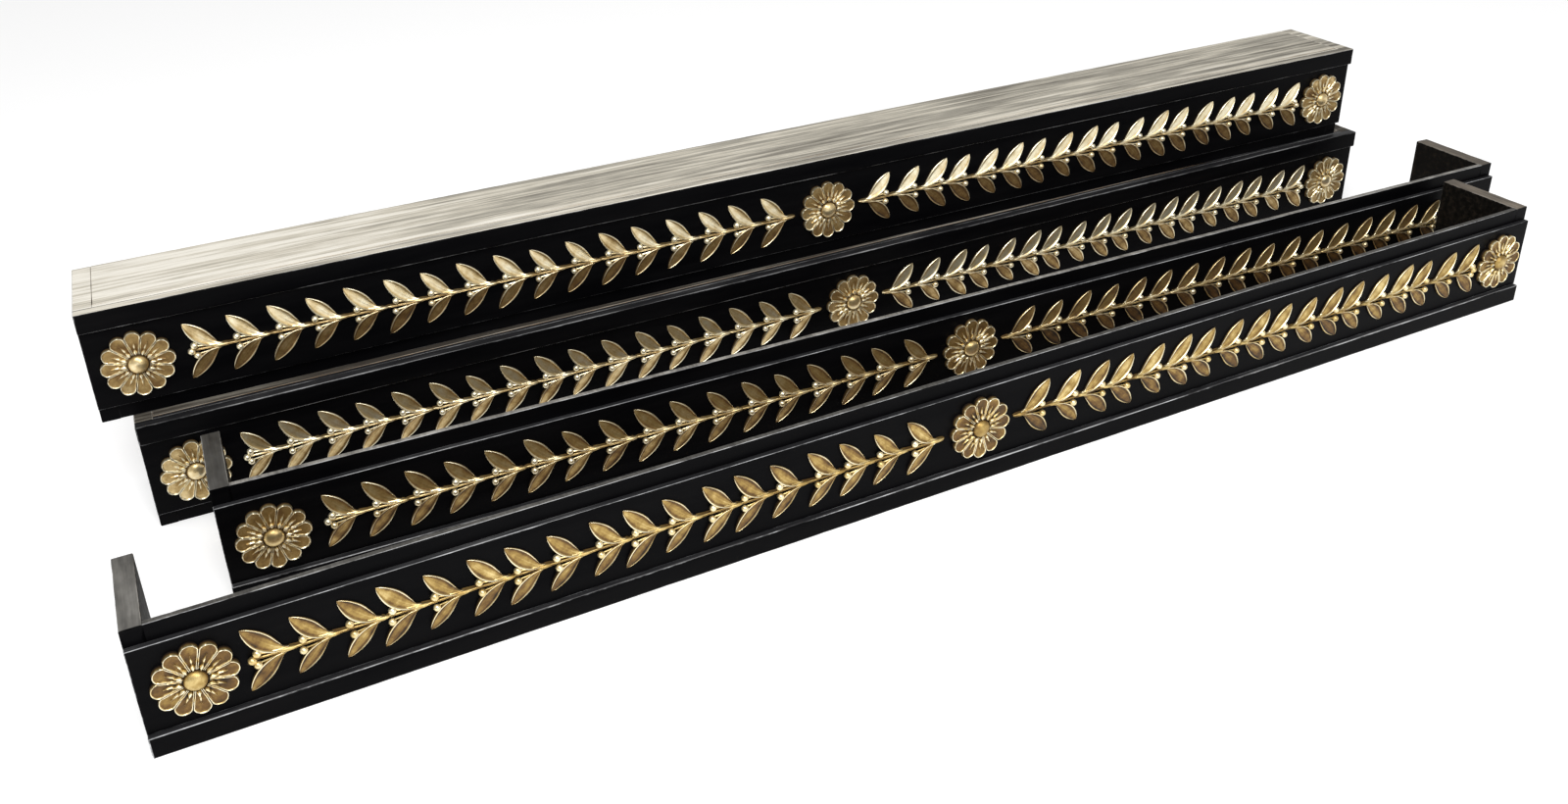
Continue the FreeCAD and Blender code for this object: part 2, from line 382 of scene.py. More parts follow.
def rosette_shell(seed):
    """A cast twelve-petalled flower: rimmed petals, stamens, a ring of beads and a domed boss."""
    rng = np.random.default_rng(seed)
    per_ring = petal_count * petal_points
    on_dome = boss_radius * np.sin(np.linspace(0.06, 0.5, boss_rings) * math.pi)
    on_petals = np.linspace(boss_radius + 0.5, rosette_radius, petal_rings)
    nominal = np.concatenate([on_dome, on_petals])
    turn = np.linspace(0, 2 * math.pi, per_ring, endpoint=False)
    sector = 2 * math.pi / petal_count
    own_angle = (turn + sector / 2) % sector - sector / 2
    reach = petal_end_radius**2 - (petal_end_circle * np.sin(own_angle)) ** 2
    outline = petal_end_circle * np.cos(own_angle) + np.sqrt(np.clip(reach, 0.3, None))
    inner_reach = 27.0
    share = np.clip((nominal - inner_reach) / (rosette_radius - inner_reach), 0, 1)[:, None]
    scalloped = inner_reach + share * (outline - inner_reach)[None, :]
    radius = np.where(share > 0, scalloped, nominal[:, None])
    angle = np.broadcast_to(own_angle, radius.shape)
    height, relief = petal_relief(radius * np.cos(angle), radius * np.sin(angle))
    boss_edge = boss_radius + 0.05
    on_boss = radius <= boss_edge
    dome = np.sqrt(np.clip(1 - (radius / (boss_radius + 0.1)) ** 2, 0, 1))
    height = np.where(on_boss, boss_foot + boss_dome * dome, height)
    moat = (radius > boss_edge) & (radius < boss_radius + moat_width)
    height = np.where(moat, np.minimum(height, moat_height), height)
    # Painted shade in the moat round the boss, and a painted highlight rising to the top of the
    # boss.
    relief = np.where(on_boss, 0.42 + 0.12 * dome, np.where(moat, 0.0, relief))
    petal_index = ((turn + sector / 2) // sector).astype(int) % petal_count
    petal_tone = 0.56 + rng.uniform(-0.10, 0.10, petal_count)
    tone = np.broadcast_to(petal_tone[petal_index], radius.shape)
    tone = np.where(on_boss, 0.55, tone)
    back = [radius[-1]] + [np.full(per_ring, back_radius) for back_radius in rosette_back_radii]
    radius = np.vstack([radius] + back)
    # The outer wall and the back are drawn dark: painted shade down the rosette's outer edge.
    flat = np.zeros((len(back), per_ring))
    height, relief, tone = (np.vstack([values, flat]) for values in (height, relief, tone))
    radius = radius * (1 + 0.006 * np.sin(turn * 3 + rng.uniform(0, 6)))
    points = np.stack([radius * np.sin(turn), -height, radius * np.cos(turn)], axis=-1)
    shell = Shell()
    shell.add_tube(points, relief, tone)
    return shell


# Meshes and objects -----------------------------------------------------------------------------


def add_values(mesh, name, values):
    """A number at each point of a mesh, for its material."""
    layer = mesh.attributes.new(name, "FLOAT", "POINT")
    layer.data.foreach_set("value", np.asarray(values, np.float32))


def add_local_places(mesh, seed):
    """Each point's place in its cornice's frame, in metres, so that grain and wear stay put.
    Each seed has its own stretch of the noise."""
    places = np.empty(len(mesh.vertices) * 3, np.float32)
    mesh.vertices.foreach_get("co", places)
    offset = (0.0, 0.0, seed * seed_spacing)
    places = (places.reshape(-1, 3) + np.array(offset, np.float32)).ravel()
    mesh.attributes.new("local", "FLOAT_VECTOR", "POINT").data.foreach_set("vector", places)


def outward(mesh):
    """Turns every closed shell's faces outwards."""
    shape = bmesh.new()
    shape.from_mesh(mesh)
    bmesh.ops.recalc_face_normals(shape, faces=shape.faces)
    shape.to_mesh(mesh)
    shape.free()


def box_centre(node):
    low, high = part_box(node)
    return (low + high) / 2


def node_points(node):
    """A CAD node's points, in metres in the row frame."""
    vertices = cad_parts[node].data.vertices
    places = np.empty(len(vertices) * 3, np.float32)
    vertices.foreach_get("co", places)
    return places.reshape(-1, 3).astype(float)


class Cornice:
    """One cornice's own frame, as if it stood upright: X along it from its middle, Y back into
    the wood from the frieze face, Z up from the line of the ornaments."""

    def __init__(self, name, seed):
        self.name, self.seed = name, seed
        self.body = f"{name}_cornice"
        left = box_centre(f"{name}_rosette_left")
        right = box_centre(f"{name}_rosette_right")
        turned = Matrix.Rotation(math.atan2(right.y - left.y, right.x - left.x), 4, "Z")
        panel = node_points(f"{name}_frieze_panel") @ np.array(turned.to_3x3())
        low, high = panel.min(0), panel.max(0)
        origin = Vector(((low[0] + high[0]) / 2, low[1], (low[2] + high[2]) / 2))
        self.inverted = box_centre(f"{name}_cap_moulding").z < box_centre(f"{name}_frieze_panel").z
        self.matrix = turned @ Matrix.Translation(origin)
        if self.inverted:
            self.matrix = self.matrix @ Matrix.Rotation(math.pi, 4, "Y")

    def side_name(self, side):
        """The name of the end of the set that is at this side of the cornice's own frame."""
        return "left" if (side < 0) != self.inverted else "right"

    def box_of(self, node):
        """A node's lowest and highest corner in the cornice's frame, in millimetres."""
        to_local = np.array(self.matrix.inverted())
        points = node_points(node) @ to_local[:3, :3].T + to_local[:3, 3]
        return points.min(0) / MM, points.max(0) / MM

    def place(self, mesh, node, slot):
        """The object of a mesh in the cornice's frame, which stands for one CAD node."""
        piece = bpy.data.objects.new(f"{node}_shape", mesh)
        bpy.context.scene.collection.objects.link(piece)
        piece.matrix_world = self.matrix
        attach(piece, self.body)
        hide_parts(node)


def sides_of_box(low, high, radius, spacing):
    """The six faces of a box as grids of points, with lines close together near the arrises."""
    stations = []
    for axis in range(3):
        steps_in = np.array([0.0, 0.5, 1.0, arris_mark_reach]) * radius
        near, far = low[axis] + steps_in, high[axis] - steps_in[::-1]
        line_count = max(2, round((far[0] - near[-1]) / spacing[axis]) + 1)
        inner = np.linspace(near[-1], far[0], line_count)
        stations.append(np.concatenate([near[:-1], inner, far[1:]]))
    for axis in range(3):
        first, second = ((1, 2), (2, 0), (0, 1))[axis]
        grid_first, grid_second = np.meshgrid(stations[first], stations[second], indexing="ij")
        for side, level in ((0, low[axis]), (1, high[axis])):
            points = np.empty(grid_first.shape + (3,))
            points[..., axis] = level
            points[..., first] = grid_first
            points[..., second] = grid_second
            yield axis, side, points


def noise_at(places, wave, offset):
    """Smooth noise at each place, about -1 to 1. wave is its size along each axis."""
    return np.array([noise.noise(Vector(place)) for place in places / wave + offset])


def board_mesh(name, low, high, radius, spacing, roughness, seed, joined=()):
    """A sawn board with eased and slightly bruised arrises. A face's material index is
    2 * axis + side, from -X as 0 to +Z as 5. Arrises beside a joined side stay sharp and sound."""
    shape = bmesh.new()
    for axis, side, grid in sides_of_box(low, high, radius, spacing):
        rows, columns = grid.shape[:2]
        made = [[shape.verts.new(grid[i, j]) for j in range(columns)] for i in range(rows)]
        for i in range(rows - 1):
            for j in range(columns - 1):
                corners = (made[i][j], made[i + 1][j], made[i + 1][j + 1], made[i][j + 1])
                face = shape.faces.new(corners)
                face.material_index = 2 * axis + side
    bmesh.ops.remove_doubles(shape, verts=shape.verts, dist=radius * 0.01)
    bmesh.ops.recalc_face_normals(shape, faces=shape.faces)
    mesh = bpy.data.meshes.new(name)
    shape.to_mesh(mesh)
    shape.free()

    places = np.empty(len(mesh.vertices) * 3)
    mesh.vertices.foreach_get("co", places)
    places = places.reshape(-1, 3)
    free_low, free_high = np.array(low), np.array(high)
    for side in joined:
        axis = "xyz".index(side[1])
        if side[0] == "-":
            free_low[axis] -= joint_depth
        else:
            free_high[axis] += joint_depth
    room = np.sort(np.minimum(places - free_low, free_high - places), axis=1)[:, 1]
    arris = 1 - np.clip(room / (arris_mark_reach * radius), 0, 1)
    core = np.clip(places, free_low + radius, free_high - radius)
    out = places - core
    distance = np.linalg.norm(out, axis=1)[:, None]
    rounded = np.where(distance > 1e-6, core + out / np.maximum(distance, 1e-6) * radius, places)
    uneven = 0.35 * noise_at(rounded, uneven_wave, (seed, 0, 0))
    bruised = np.clip(noise_at(rounded, bruise_wave, (0, seed, 0)) - 0.18, 0, 1) * 1.6 * arris
    dent = roughness * (uneven + bruised)
    rounded -= out / np.maximum(distance, 1e-6) * dent[:, None]
    mesh.vertices.foreach_set("co", (rounded * MM).ravel())
    mesh.update()
    add_values(mesh, "arris", arris)
    add_local_places(mesh, seed)
    return mesh


def metal_mesh(name, shell, seed):
    """The mesh of a cast mount, with its relief and tone, which set its patina and also its
    painted highlights and painted shade.
    """
    mesh = bpy.data.meshes.new(name)
    mesh.from_pydata((np.vstack(shell.points) * MM).tolist(), [], shell.faces)
    outward(mesh)
    add_values(mesh, "relief", np.clip(np.concatenate(shell.relief), 0, 1))
    add_values(mesh, "tone", np.clip(np.concatenate(shell.tone), 0, 1))
    add_local_places(mesh, seed)
    mesh.polygons.foreach_set("use_smooth", [True] * len(mesh.polygons))
    mesh.set_sharp_from_angle(angle=math.radians(55))
    return mesh


# Materials --------------------------------------------------------------------------------------


class Paint:
    """A material's nodes, made a few at a time."""

    def __init__(self, name):
        self.material = bpy.data.materials.new(name)
        self.material.use_nodes = True
        self.tree = self.material.node_tree
        self.shader = self.tree.nodes["Principled BSDF"]

    def node(self, kind, **settings):
        made = self.tree.nodes.new(kind)
        for key, value in settings.items():
            setattr(made, key, value)
        return made

    def join(self, value, socket):
        """Links an output to a socket, or sets the socket to a plain value."""
        if isinstance(value, bpy.types.NodeSocket):
            self.tree.links.new(value, socket)
        else:
            socket.default_value = value

    def attribute(self, name, output="Fac"):
        return self.node("ShaderNodeAttribute", attribute_name=name).outputs[output]

    def noise(self, scale, detail=4.0, roughness=0.6, from_object=False):
        """Noise with a number of waves per metre along each axis. It follows the places that the
        mesh holds, or the object's own space on the CAD nodes, whose meshes hold none."""
        if from_object:
            place = self.node("ShaderNodeTexCoord").outputs["Object"]
        else:
            place = self.attribute("local", "Vector")
        stretch = self.node("ShaderNodeVectorMath", operation="MULTIPLY")
        self.tree.links.new(place, stretch.inputs[0])
        stretch.inputs[1].default_value = scale
        made = self.node("ShaderNodeTexNoise")
        self.tree.links.new(stretch.outputs[0], made.inputs["Vector"])
        made.inputs["Scale"].default_value = 1.0
        made.inputs["Detail"].default_value = detail
        made.inputs["Roughness"].default_value = roughness
        return made.outputs["Fac"]

    def math(self, operation, first, second=0.0, third=0.0, clamp=False):
        made = self.node("ShaderNodeMath", operation=operation, use_clamp=clamp)
        for value, socket in zip((first, second, third), made.inputs):
            self.join(value, socket)
        return made.outputs[0]

    def ramp(self, value, low, high, low_out=0.0, high_out=1.0):
        """A smooth change from low_out to high_out as value goes from low to high."""
        made = self.node("ShaderNodeMapRange", interpolation_type="SMOOTHSTEP")
        for amount, socket in zip((value, low, high, low_out, high_out), made.inputs):
            self.join(amount, socket)
        return made.outputs[0]

    def colours(self, value, stops):
        """A colour that changes through (position, colour) stops."""
        made = self.node("ShaderNodeValToRGB")
        elements = made.color_ramp.elements
        while len(elements) < len(stops):
            elements.new(1.0)
        for element, (position, colour) in zip(elements, stops):
            element.position = position
            element.color = (*colour, 1.0)
        self.join(value, made.inputs[0])
        return made.outputs[0]

    def mix(self, share, first, second):
        made = self.node("ShaderNodeMix", data_type="RGBA")
        self.join(share, made.inputs[0])
        for value, socket in ((first, made.inputs[6]), (second, made.inputs[7])):
            self.join((*value, 1.0) if isinstance(value, tuple) else value, socket)
        return made.outputs[2]

    def bump(self, height, strength, distance, under=None):
        made = self.node("ShaderNodeBump")
        made.inputs["Strength"].default_value = strength
        made.inputs["Distance"].default_value = distance
        self.join(height, made.inputs["Height"])
        if under is not None:
            self.join(under, made.inputs["Normal"])
        return made.outputs[0]

    def wear_and_highlight_on_arrises(self, colour, broken_by, low, high, most, pale):
        """Shows a pale colour along the arrises, broken up by a noise: partly wear, partly painted
        highlights.
        """
        broken = self.math("MULTIPLY", self.attribute("arris"), broken_by)
        return self.mix(self.ramp(broken, low, high, 0.0, most), colour, pale)

    def finish(self, colour, roughness, normal=None, metallic=0.0, specular=0.5):
        self.join(colour, self.shader.inputs["Base Color"])
        self.join(roughness, self.shader.inputs["Roughness"])
        self.join(metallic, self.shader.inputs["Metallic"])
        self.shader.inputs["Specular IOR Level"].default_value = specular
        if normal is not None:
            self.join(normal, self.shader.inputs["Normal"])
        return self.material


def shaded(stops, brightness, tint=(1.0, 1.0, 1.0)):
    """Colour stops made brighter or darker, and tinted."""
    return [
        (position, tuple(brightness * hue * part for hue, part in zip(tint, colour)))
        for position, colour in stops
    ]


def lacquer(name, wear):
    """Black lacquer over wood: faint brush marks, and pale arrises, partly rubbed paint and partly
    painted highlights.
    """
    paint = Paint(name)
    broad = paint.noise((5.0, 40.0, 40.0), 3.0)
    brushed = paint.noise((14.0, 420.0, 420.0), 3.0)
    black = paint.colours(broad, [
        (0.3, (0.0012, 0.0012, 0.0016)),
        (0.75, (0.0034, 0.0033, 0.0036)),
    ])
    patchy = paint.noise((26.0, 90.0, 90.0), 5.0, 0.7)
    along = paint.noise((5.0, 12.0, 12.0), 3.0, 0.6)
    arris = paint.attribute("arris")
    edge_line = paint.ramp(arris, 0.62, 0.92)
    stretches = paint.math("MULTIPLY_ADD", along, 1.2, -0.42)
    broken = paint.math("MULTIPLY_ADD", patchy, 0.9, stretches)
    bare = paint.ramp(broken, 0.62 - 0.22 * wear, 0.95 - 0.2 * wear, 0.0, wear)
    worn_and_highlit = paint.math("MULTIPLY", edge_line, bare)
    # The pale colour on the arrises stands partly for rubbed paint and partly for painted
    # highlights; a higher wear brings more of both.
    rubbed = paint.colours(patchy, [(0.35, (0.20, 0.20, 0.205)), (0.62, (0.72, 0.73, 0.74))])
    colour = paint.mix(worn_and_highlit, black, rubbed)
    roughness = paint.ramp(broad, 0.3, 0.75, 0.34, 0.48)
    normal = paint.bump(brushed, 0.10, 0.0004)
    return paint.finish(colour, roughness, normal, specular=0.03)


def ledge_lacquer(name, brightness=1.0):
    """Lacquer on the narrow ledges: greyed partly by dust and handling and partly by a painted
    reflection of the light from above, with painted highlights along the arrises.
    """
    paint = Paint(name)
    along = paint.noise((4.0, 10.0, 10.0), 4.0, 0.6)
    streak = paint.noise((20.0, 600.0, 600.0), 4.0, 0.7)
    dust_and_sheen = paint.math("MULTIPLY_ADD", streak, 0.7, paint.math("MULTIPLY", along, 0.5))
    # Grey streaks: partly dust, partly a painted reflection of the light from above.
    colour = paint.colours(dust_and_sheen, shaded([
        (0.42, (0.006, 0.006, 0.007)),
        (0.66, (0.024, 0.024, 0.026)),
        (0.85, (0.11, 0.11, 0.11)),
    ], brightness))
    colour = paint.wear_and_highlight_on_arrises(colour, along, 0.36, 0.62, 0.8, (0.5, 0.5, 0.5))
    roughness = paint.ramp(along, noise_low, noise_high, 0.4, 0.6)
    normal = paint.bump(streak, 0.15, 0.0004)
    return paint.finish(colour, roughness, normal, specular=0.3)


def black_wash(name):
    """Thin black stain on the inner faces, with the wood showing faintly through."""
    paint = Paint(name)
    streak = paint.noise((9.0, 160.0, 160.0), 5.0, 0.65)
    broad = paint.noise((6.0, 12.0, 12.0), 3.0)
    share = paint.math("MULTIPLY_ADD", streak, 0.8, paint.math("MULTIPLY", broad, 0.4))
    colour = paint.colours(share, [
        (0.35, (0.0018, 0.0016, 0.0014)),
        (0.60, (0.0055, 0.0048, 0.0040)),
        (0.85, (0.030, 0.022, 0.015)),
    ])
    colour = paint.wear_and_highlight_on_arrises(colour, streak, 0.35, 0.6, 0.6, (0.33, 0.30, 0.26))
    roughness = paint.ramp(streak, noise_low, noise_high, 0.5, 0.72)
    normal = paint.bump(streak, 0.25, 0.0006)
    return paint.finish(colour, roughness, normal, specular=0.12)


def worn_edge(name, brightness=1.0, tint=(1.0, 1.0, 1.0)):
    """Lower edges, where handling has rubbed the black to a mottled grey or brown."""
    paint = Paint(name)
    mottled = paint.noise((45.0, 22.0, 45.0), 4.0, 0.6)
    streak = paint.noise((260.0, 12.0, 60.0), 4.0, 0.6)
    share = paint.math("MULTIPLY_ADD", streak, 0.45, paint.math("MULTIPLY", mottled, 0.6))
    colour = paint.colours(share, shaded([
        (0.36, (0.055, 0.052, 0.048)),
        (0.55, (0.145, 0.138, 0.125)),
        (0.75, (0.26, 0.25, 0.23)),
    ], brightness, tint))
    colour = paint.wear_and_highlight_on_arrises(colour, mottled, 0.3, 0.6, 0.5, (0.48, 0.46, 0.42))
    roughness = paint.ramp(mottled, noise_low, noise_high, 0.5, 0.7)
    normal = paint.bump(streak, 0.2, 0.0005)
    return paint.finish(colour, roughness, normal, specular=0.35)


def weathered_wood(name, brightness, fade):
    """Bare greyed wood of the tops: long streaks of cream and grey, paler towards the -X end,
    partly the wood's own colour and partly painted light.
    """
    paint = Paint(name)
    bands = paint.noise((1.6, 26.0, 26.0), 4.0, 0.6)
    streak = paint.noise((5.0, 150.0, 150.0), 6.0, 0.68)
    grain = paint.noise((22.0, 1100.0, 1100.0), 4.0, 0.65)
    stain = paint.noise((11.0, 30.0, 30.0), 4.0, 0.62)
    split = paint.node("ShaderNodeSeparateXYZ")
    paint.tree.links.new(paint.attribute("local", "Vector"), split.inputs[0])
    # Paler towards -X: partly the wood's own colour, partly painted light falling off along the
    # length.
    paler_and_lit = paint.ramp(split.outputs[0], -0.9, 0.1, fade, 0.0)
    level = paint.math("ADD", paler_and_lit, brightness - 1.62)
    level = paint.math("MULTIPLY_ADD", bands, 0.90, level)
    level = paint.math("MULTIPLY_ADD", streak, 1.95, level)
    level = paint.math("MULTIPLY_ADD", stain, 0.30, level)
    colour = paint.colours(level, [
        (0.0, (0.05, 0.042, 0.033)),
        (0.30, (0.20, 0.182, 0.150)),
        (0.52, (0.36, 0.335, 0.280)),
        (0.74, (0.60, 0.555, 0.460)),
        (1.0, (0.84, 0.80, 0.71)),
    ])
    dark_grain = paint.ramp(grain, 0.30, 0.5, 0.75, 1.0)
    shade = paint.node("ShaderNodeMix", data_type="RGBA", blend_type="MULTIPLY")
    shade.inputs[0].default_value = 1.0
    paint.join(colour, shade.inputs[6])
    paint.join(dark_grain, shade.inputs[7])
    colour = paint.wear_and_highlight_on_arrises(shade.outputs[2], streak, 0.25, 0.6, 0.6, (0.80, 0.76, 0.68))
    roughness = paint.ramp(streak, noise_low, noise_high, 0.62, 0.85)
    normal = paint.bump(grain, 0.25, 0.0005, paint.bump(streak, 0.3, 0.0012))
    return paint.finish(colour, roughness, normal, specular=0.3)


def deal(name, from_object=False):
    """Unpainted softwood, darkened with age: the glue blocks and the inside of the top board."""
    paint = Paint(name)
    rings = paint.noise((6.0, 120.0, 120.0), 5.0, 0.6, from_object)
    colour = paint.colours(rings, [
        (0.32, (0.16, 0.085, 0.036)),
        (0.5, (0.30, 0.18, 0.085)),
        (0.7, (0.42, 0.28, 0.15)),
    ])
    roughness = paint.ramp(rings, noise_low, noise_high, 0.65, 0.85)
    normal = paint.bump(rings, 0.3, 0.0008)
    return paint.finish(colour, roughness, normal, specular=0.3)


def gilt(name, painted_brightness, warmth):
    """Gilt cast metal: bright where it stands proud and brown in the dips, partly old lacquer and
    dirt and partly painted highlights and painted shade. Its brightness all over is painted light
    set for each cornice, and a higher warmth is redder."""
    paint = Paint(name)
    patches = paint.noise((70.0, 70.0, 70.0), 5.0, 0.65)
    broad = paint.noise((9.0, 9.0, 9.0), 3.0, 0.5)
    pitted = paint.noise((900.0, 900.0, 900.0), 3.0, 0.6)
    # Painted light with the patina: relief brings painted highlights and painted shade, tone the
    # leaves' painted light and their own tone, and the noise real blotches.
    polish_and_painted_light = paint.math("MULTIPLY_ADD", paint.attribute("relief"), 0.98, painted_brightness - 0.97)
    polish_and_painted_light = paint.math("MULTIPLY_ADD", paint.attribute("tone"), 0.70, polish_and_painted_light)
    polish_and_painted_light = paint.math("MULTIPLY_ADD", patches, 0.90, polish_and_painted_light)
    polish_and_painted_light = paint.math("MULTIPLY_ADD", broad, 0.30, polish_and_painted_light, clamp=True)
    colour = paint.colours(polish_and_painted_light, [
        (0.05, (0.022, 0.013, 0.006)),
        (0.28, (0.160, 0.088, 0.029)),
        (0.50, (0.390, 0.262, 0.090 - 0.02 * warmth)),
        (0.72, (0.720, 0.560, 0.265 - 0.05 * warmth)),
        (1.0, (0.98, 0.90, 0.66)),
    ])
    roughness = paint.ramp(polish_and_painted_light, 0.1, 0.9, 0.58, 0.28)
    metallic = paint.ramp(polish_and_painted_light, 0.05, 0.45, 0.50, 0.86)
    normal = paint.bump(pitted, 0.10, 0.0004, paint.bump(patches, 0.25, 0.0006))
    return paint.finish(colour, roughness, normal, metallic)


def plain_metal(name, dark, bright, roughness, metallic):
    """Drawn or forged metal of the hidden pins and nails, blotched with tarnish."""
    paint = Paint(name)
    blotch = paint.noise((400.0, 160.0, 400.0), from_object=True)
    colour = paint.colours(blotch, [(0.35, dark), (0.65, bright)])
    shine = paint.ramp(blotch, noise_low, noise_high, roughness + 0.2, roughness)
    return paint.finish(colour, shine, paint.bump(blotch, 0.2, 0.0002), metallic)


# The four cornices ------------------------------------------------------------------------------


def add_board(cornice, part, slot, radius, spacing, roughness, faces, seed, joined=()):
    """A board that stands for a CAD node. faces names the material of each of its six sides, and
    joined the sides that are glued to another board."""
    node = f"{cornice.name}_{part}"
    low, high = cornice.box_of(node)
    own_seed = cornice.seed + seed
    mesh = board_mesh(f"{node}_mesh", low, high, radius, spacing, roughness, own_seed, joined)
    for side in ("-x", "+x", "-y", "+y", "-z", "+z"):
        mesh.materials.append(faces.get(side, faces["rest"]))
    mesh.polygons.foreach_set("use_smooth", [True] * len(mesh.polygons))
    cornice.place(mesh, node, slot)


def add_boards(cornice, paints):
    """The carcass of one cornice."""
    black, ledge, wash = paints["lacquer"], paints["ledge"], paints["wash"]
    top, pale = paints["top"], paints["deal"]
    long_steps, cross_steps = (7.0, 9.0, 9.0), (6.0, 7.0, 9.0)
    fascia = {"rest": black, "+y": wash, "+z": paints["front_top"], "-z": paints["lower_edge"]}
    panel = {"rest": black, "-z": ledge}
    cap = {"rest": black, "+z": paints["front_top"], "-z": ledge}
    dust_board = {"rest": pale, "+z": top}
    ends = ("-x", "+x")
    # Each board's node and slot, its arris radius and roughness in millimetres, the materials of
    # its sides, and its joined sides. Its place in this list is its seed.
    for seed, (part, slot, radius, roughness, faces, joined) in enumerate((
        ("fascia_board", "black_lacquer", 0.9, 0.35, fascia, ends),
        ("frieze_panel", "black_lacquer", 0.9, 0.30, panel, ()),
        ("cap_moulding", "black_lacquer", 1.6, 0.35, cap, ()),
        ("top_board", "bare_deal", 0.8, 0.45, dust_board, ()),
    ), start=1):
        add_board(cornice, part, slot, radius, long_steps, roughness, faces, seed, joined)
    return_radius, return_roughness, return_seed = 1.3, 0.4, 5
    for side in (-1, 1):
        inner = "+x" if side < 0 else "-x"
        end_name = cornice.side_name(side)
        sides = {"rest": black, inner: wash, "+z": top, "-z": paints[f"worn_{end_name}"]}
        add_board(
            cornice, f"return_{end_name}", "black_lacquer", return_radius, cross_steps,
            return_roughness, sides, return_seed + side, ("-y",),
        )


def add_mounts(cornice, paints):
    """The gilt rosettes and laurel branches of one cornice."""
    upper_sign = -1 if cornice.inverted else 1
    first_seed, laurel_seed = cornice.seed * 10, 5
    for index, part in enumerate(("rosette_left", "rosette_centre", "rosette_right")):
        node = f"{cornice.name}_{part}"
        seed = first_seed + index
        mesh = metal_mesh(f"{node}_mesh", rosette_shell(seed), seed)
        low, high = cornice.box_of(node)
        middle = (low + high) / 2
        mesh.transform(Matrix.Translation(Vector((middle[0], 0, middle[2])) * MM))
        mesh.materials.append(paints["gilt"])
        cornice.place(mesh, node, "gilt_metal")
    for side, pair_count in zip((-1, 1), branch_pairs[cornice.name]):
        end_name = cornice.side_name(side)
        node = f"{cornice.name}_laurel_{end_name}"
        seed = first_seed + laurel_seed + side
        tones = leaf_painted_light[cornice.name, end_name]
        shell = laurel_shell(pair_count, upper_sign, tones, seed)
        mesh = metal_mesh(f"{node}_mesh", shell, seed)
        if side < 0:
            mesh.transform(Matrix.Scale(-1, 4, Vector((1, 0, 0))))
            mesh.flip_normals()
        mesh.materials.append(paints["gilt"])
        cornice.place(mesh, node, "gilt_metal")


def finish_hidden_nodes(cornice, paints):
    """Materials of the CAD nodes that are shown as they are."""
    for part, paint in (("glue_blocks", "blocks"), ("mount_pins", "pins"), ("nails", "nails")):
        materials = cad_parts[f"{cornice.name}_{part}"].data.materials
        materials.clear()
        materials.append(paints[paint])


def all_paints():
    """The materials that each cornice uses."""
    shared = {
        "ledge": ledge_lacquer("ledge_lacquer"),
        "wash": black_wash("black_wash"),
        "deal": deal("aged_deal"),
        "blocks": deal("block_deal", from_object=True),
        "pins": plain_metal(
            "pin_brass", dark=(0.30, 0.19, 0.07), bright=(0.62, 0.44, 0.18),
            roughness=0.3, metallic=1.0,
        ),
        "nails": plain_metal(
            "nail_iron", dark=(0.03, 0.02, 0.015), bright=(0.14, 0.12, 0.11),
            roughness=0.5, metallic=0.8,
        ),
    }
    # The worn black has more pale arrises than the sound black: more rubbed paint and more painted
    # highlights.
    bright_black = lacquer("lacquer_worn_and_highlit", wear=0.95)
    calm_black = lacquer("lacquer_less_worn_and_highlit", wear=0.45)
    bare_front = weathered_wood("front_top_wood", brightness=0.24, fade=0.0)
    brown = (1.10, 0.96, 0.82)
    plain_edge = worn_edge("worn_edge", brightness=0.88)
    brown_edge = worn_edge("brown_edge", brightness=0.95, tint=brown)
    # Each cornice's gilt has its own warmth, and a brightness that is painted light for how much
    # light reaches that cornice.
    own = {
        "upper": {
            "lacquer": calm_black,
            "lower_edge": calm_black,
            "front_top": weathered_wood("upper_front_top", brightness=0.56, fade=0.32),
            "top": weathered_wood("upper_top_wood", brightness=0.60, fade=0.32),
            "worn_left": plain_edge,
            "worn_right": brown_edge,
            "gilt": gilt("gilt_yellow", painted_brightness=0.18, warmth=-0.6),
        },
        "rear": {
            "lacquer": calm_black,
            "lower_edge": calm_black,
            "front_top": ledge_lacquer("rear_front_top", brightness=0.9),
            "top": weathered_wood("rear_top_wood", brightness=0.06, fade=0.0),
            "worn_left": plain_edge,
            "worn_right": brown_edge,
            "gilt": gilt("gilt_old", painted_brightness=0.26, warmth=-0.5),
        },
        "middle": {
            "lacquer": bright_black,
            "lower_edge": worn_edge("middle_lower_edge", brightness=1.6),
            "front_top": bare_front,
            "top": weathered_wood("middle_top_wood", brightness=0.34, fade=0.0),
            "worn_left": worn_edge("dark_edge", brightness=0.42),
            "worn_right": worn_edge("dark_brown_edge", brightness=0.85, tint=brown),
            "gilt": gilt("gilt_brown", painted_brightness=0.16, warmth=-0.2),
        },
        "front": {
            "lacquer": bright_black,
            "lower_edge": worn_edge("front_lower_edge", brightness=0.52),
            "front_top": bare_front,
            "top": weathered_wood("front_cornice_top", brightness=0.34, fade=0.0),
            "worn_left": plain_edge,
            "worn_right": brown_edge,
            "gilt": gilt("gilt_rich", painted_brightness=0.00, warmth=0.3),
        },
    }
    return {name: {**shared, **paints} for name, paints in own.items()}


# The studio -------------------------------------------------------------------------------------


# The camera of the perspective fit: its place in metres, its angles in radians, its lens and
# sensor width in millimetres, and its shift in widths of the picture.
camera_place = (-0.8197, -1.2988, 0.9196)
camera_azimuth, camera_elevation, camera_roll = -0.3994, -0.4372, -0.0486
camera_lens, camera_sensor = 30.917, 36.0
camera_shift = (0.04856, -0.1019)

# The surroundings: the floor's half width in metres and its own glow, and the white of the world.
floor_reach = 15.0
floor_glow = 0.36
world_strength = 0.55

